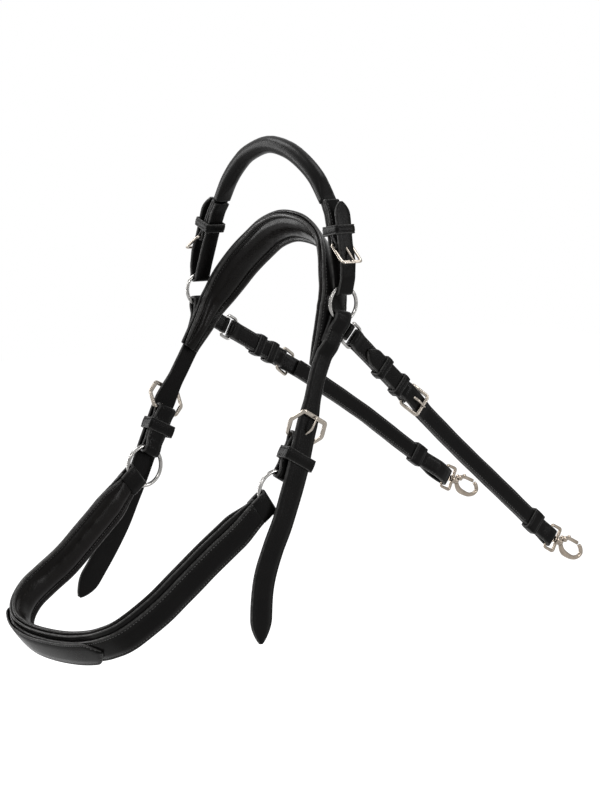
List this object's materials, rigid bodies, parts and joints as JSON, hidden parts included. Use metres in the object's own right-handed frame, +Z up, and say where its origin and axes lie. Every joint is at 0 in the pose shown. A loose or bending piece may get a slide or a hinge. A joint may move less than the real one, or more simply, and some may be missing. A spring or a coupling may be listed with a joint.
{
  "type": "neck strap",
  "caption": "Black leather horse's neck strap with a rolled hand strap, padded neck piece and chest band, buckled side straps, rings and two snap straps.",
  "frame": {"origin": "inner face of the neck piece's pad, in the middle, where the crest of the neck bears", "axes": "+X to the near side, across the neck; -Y towards the chest and +Y back along the horse; +Z up"},
  "size_m": [0.2574, 0.6334, 0.4952],
  "materials": {
    "black_leather": "smooth, lightly waxed",
    "black_lining": "soft, padded",
    "satin_nickel": "satin nickel plate"
  },
  "bodies": {
    "neck_piece": {"crown_strap": "black_leather", "crown_pad": "black_lining", "billet_near": "black_leather", "dee_tab_near": "black_leather", "main_chape_near": "black_leather", "main_buckle_near": "satin_nickel", "main_keeper_near": "black_leather", "billet_off": "black_leather", "dee_tab_off": "black_leather", "main_chape_off": "black_leather", "main_buckle_off": "satin_nickel", "main_keeper_off": "black_leather"},
    "hand_strap": {"hand_roll": "black_leather", "hand_strap_near": "black_leather", "hand_chape_near": "black_leather", "hand_buckle_near": "satin_nickel", "hand_keeper_near": "black_leather", "hand_strap_off": "black_leather", "hand_chape_off": "black_leather", "hand_buckle_off": "satin_nickel", "hand_keeper_off": "black_leather"},
    "chest_band": {"chest_backing": "black_leather", "chest_strap": "black_leather", "chest_pad": "black_lining", "chest_overlay": "black_leather", "chest_tab_near": "black_leather", "chest_tab_off": "black_leather"},
    "upper_ring_near": {"upper_ring_near": "satin_nickel"},
    "lower_ring_near": {"lower_ring_near": "satin_nickel"},
    "main_tongue_near": {"main_tongue_near": "satin_nickel"},
    "hand_tongue_near": {"hand_tongue_near": "satin_nickel"},
    "dee_near": {"dee_near": "satin_nickel"},
    "snap_tongue_near": {"snap_tongue_near": "satin_nickel"},
    "snap_slider_near": {"snap_slider_near": "black_leather"},
    "snap_eye_near": {"snap_eye_near": "satin_nickel"},
    "snap_gate_near": {"snap_gate_near": "satin_nickel"},
    "snap_strap_near": {"snap_strap_near": "black_leather", "snap_chape_near": "black_leather", "snap_buckle_near": "satin_nickel", "snap_keeper_1_near": "black_leather", "snap_keeper_2_near": "black_leather"},
    "snap_hook_near": {"snap_hook_near": "satin_nickel", "snap_pin_near": "satin_nickel"},
    "upper_ring_off": {"upper_ring_off": "satin_nickel"},
    "lower_ring_off": {"lower_ring_off": "satin_nickel"},
    "main_tongue_off": {"main_tongue_off": "satin_nickel"},
    "hand_tongue_off": {"hand_tongue_off": "satin_nickel"},
    "dee_off": {"dee_off": "satin_nickel"},
    "snap_tongue_off": {"snap_tongue_off": "satin_nickel"},
    "snap_slider_off": {"snap_slider_off": "black_leather"},
    "snap_eye_off": {"snap_eye_off": "satin_nickel"},
    "snap_gate_off": {"snap_gate_off": "satin_nickel"},
    "snap_strap_off": {"snap_strap_off": "black_leather", "snap_chape_off": "black_leather", "snap_buckle_off": "satin_nickel", "snap_keeper_1_off": "black_leather", "snap_keeper_2_off": "black_leather"},
    "snap_hook_off": {"snap_hook_off": "satin_nickel", "snap_pin_off": "satin_nickel"}
  },
  "joints": [
    {"name": "hand_strap_swing", "type": "hinge", "parent": "neck_piece", "child": "hand_strap", "pos_m": [0, -0.02, -0.064], "axis": [1, 0, 0], "range_deg": [-35, 8]},
    {"name": "chest_band_swing", "type": "hinge", "parent": "neck_piece", "child": "chest_band", "pos_m": [0, -0.0955, -0.2385], "axis": [1, 0, 0], "range_deg": [-25, 35]},
    {"name": "upper_ring_turn_near", "type": "hinge", "parent": "neck_piece", "child": "upper_ring_near", "pos_m": [0.11505, -0.02, -0.064], "axis": [1, 0, 0], "continuous": true},
    {"name": "lower_ring_turn_near", "type": "hinge", "parent": "neck_piece", "child": "lower_ring_near", "pos_m": [0.108, -0.0955, -0.2385], "axis": [1, 0, 0], "continuous": true},
    {"name": "main_tongue_lift_near", "type": "hinge", "parent": "neck_piece", "child": "main_tongue_near", "pos_m": [0.108, -0.06902, -0.19052], "axis": [0, 0.8755, -0.4833], "range_deg": [0, 20]},
    {"name": "hand_tongue_lift_near", "type": "hinge", "parent": "hand_strap", "child": "hand_tongue_near", "pos_m": [0.11151, -0.02, -0.00785], "axis": [0, -1, 0], "range_deg": [0, 20]},
    {"name": "dee_swing_near", "type": "hinge", "parent": "neck_piece", "child": "dee_near", "pos_m": [0.1047, -0.00554, -0.09261], "axis": [0, -0.6576, -0.7534], "range_deg": [-8, 45]},
    {"name": "snap_strap_swing_near", "type": "hinge", "parent": "dee_near", "child": "snap_strap_near", "pos_m": [0.1047, 0.0035, -0.1005], "axis": [0, -0.6576, -0.7534], "range_deg": [-8, 30]},
    {"name": "snap_tongue_lift_near", "type": "hinge", "parent": "snap_strap_near", "child": "snap_tongue_near", "pos_m": [0.1047, 0.06832, -0.15702], "axis": [0, -0.6583, -0.7527], "range_deg": [0, 20]},
    {"name": "snap_slider_slide_near", "type": "slide", "parent": "snap_strap_near", "child": "snap_slider_near", "axis": [0, 0.7744, -0.6327], "range_m": [-0.08, 0.004]},
    {"name": "snap_eye_swing_near", "type": "hinge", "parent": "snap_strap_near", "child": "snap_eye_near", "pos_m": [0.1047, 0.264, -0.3198], "axis": [0, -0.4577, -0.8891], "range_deg": [-50, 50]},
    {"name": "snap_hook_turn_near", "type": "hinge", "parent": "snap_eye_near", "child": "snap_hook_near", "pos_m": [0.1047, 0.27574, -0.32584], "axis": [0, 0.8891, -0.4577], "continuous": true},
    {"name": "snap_gate_press_near", "type": "hinge", "parent": "snap_hook_near", "child": "snap_gate_near", "pos_m": [0.1047, 0.28609, -0.32561], "axis": [-1, 0, 0], "range_deg": [0, 25], "stiffness_Nm_per_rad": 0.02, "springref_deg": -17.19},
    {"name": "upper_ring_turn_off", "type": "hinge", "parent": "neck_piece", "child": "upper_ring_off", "pos_m": [-0.11505, -0.02, -0.064], "axis": [1, 0, 0], "continuous": true},
    {"name": "lower_ring_turn_off", "type": "hinge", "parent": "neck_piece", "child": "lower_ring_off", "pos_m": [-0.108, -0.0955, -0.2385], "axis": [1, 0, 0], "continuous": true},
    {"name": "main_tongue_lift_off", "type": "hinge", "parent": "neck_piece", "child": "main_tongue_off", "pos_m": [-0.108, -0.06996, -0.18399], "axis": [0, -0.9056, 0.4242], "range_deg": [0, 20]},
    {"name": "hand_tongue_lift_off", "type": "hinge", "parent": "hand_strap", "child": "hand_tongue_off", "pos_m": [-0.10294, -0.02, -0.00943], "axis": [0, 1, 0], "range_deg": [0, 20]},
    {"name": "dee_swing_off", "type": "hinge", "parent": "neck_piece", "child": "dee_off", "pos_m": [-0.1047, 0.00341, -0.10115], "axis": [0, 0.4706, 0.8823], "range_deg": [-8, 45]},
    {"name": "snap_strap_swing_off", "type": "hinge", "parent": "dee_off", "child": "snap_strap_off", "pos_m": [-0.1047, 0.014, -0.1068], "axis": [0, 0.4706, 0.8823], "range_deg": [-8, 30]},
    {"name": "snap_tongue_lift_off", "type": "hinge", "parent": "snap_strap_off", "child": "snap_tongue_off", "pos_m": [-0.1047, 0.07586, -0.13956], "axis": [0, 0.4691, 0.8831], "range_deg": [0, 20]},
    {"name": "snap_slider_slide_off", "type": "slide", "parent": "snap_strap_off", "child": "snap_slider_off", "axis": [0, 0.8275, -0.5615], "range_m": [-0.04, 0.004]},
    {"name": "snap_eye_swing_off", "type": "hinge", "parent": "snap_strap_off", "child": "snap_eye_off", "pos_m": [-0.1047, 0.306, -0.2857], "axis": [0, 0.4093, 0.9124], "range_deg": [-50, 50]},
    {"name": "snap_hook_turn_off", "type": "hinge", "parent": "snap_eye_off", "child": "snap_hook_off", "pos_m": [-0.1047, 0.31804, -0.2911], "axis": [0, 0.9124, -0.4093], "continuous": true},
    {"name": "snap_gate_press_off", "type": "hinge", "parent": "snap_hook_off", "child": "snap_gate_off", "pos_m": [-0.1047, 0.32837, -0.29031], "axis": [-1, 0, 0], "range_deg": [0, 25], "stiffness_Nm_per_rad": 0.02, "springref_deg": -17.19}
  ]
}
